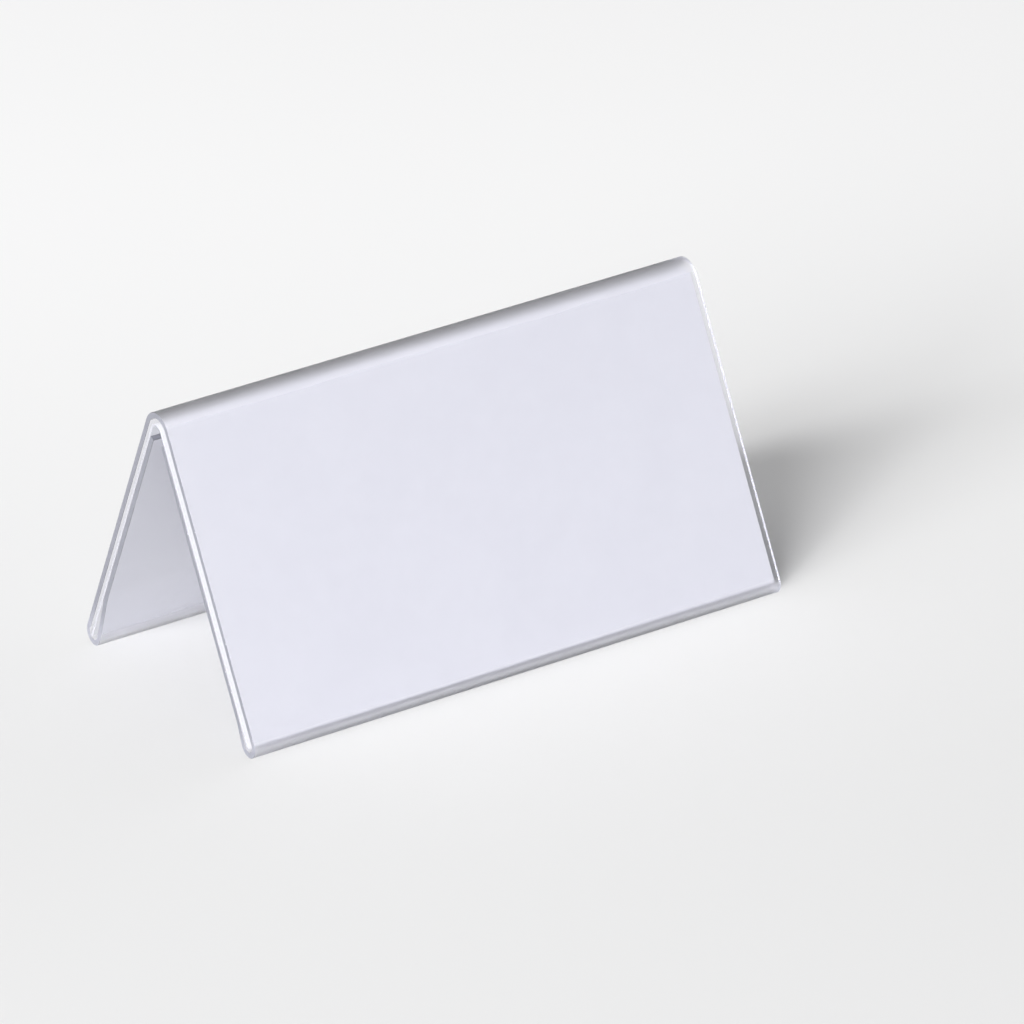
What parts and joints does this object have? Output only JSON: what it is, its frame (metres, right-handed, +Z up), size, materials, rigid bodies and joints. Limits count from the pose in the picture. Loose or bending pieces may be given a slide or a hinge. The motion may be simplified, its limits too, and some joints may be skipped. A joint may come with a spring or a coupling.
{
  "type": "table name holder",
  "caption": "Tent-shaped table name holder of clear folded sheet, with a round ridge and foot bends, and a plain folded card that slides out of its pockets at either end.",
  "frame": {"origin": "on the table, under the middle of the ridge", "axes": "+X along the ridge, -Y the way the front leaf faces, +Z up"},
  "size_m": [0.102, 0.0536, 0.0518],
  "materials": {
    "clear_sheet": "clear, glossy, with a faint cool tint at its edges and bends",
    "white_card": "smooth matt white card"
  },
  "bodies": {
    "holder": {"front_panel": "clear_sheet", "ridge_bend": "clear_sheet", "rear_panel": "clear_sheet", "front_foot_outer_bend": "clear_sheet", "front_foot_inner_bend": "clear_sheet", "front_flap": "clear_sheet", "rear_foot_outer_bend": "clear_sheet", "rear_foot_inner_bend": "clear_sheet", "rear_flap": "clear_sheet"},
    "card": {"name_card": "white_card"}
  },
  "joints": [
    {"name": "card_slide", "type": "slide", "parent": "holder", "child": "card", "axis": [1, 0, 0], "range_m": [-0.105, 0.105]}
  ]
}
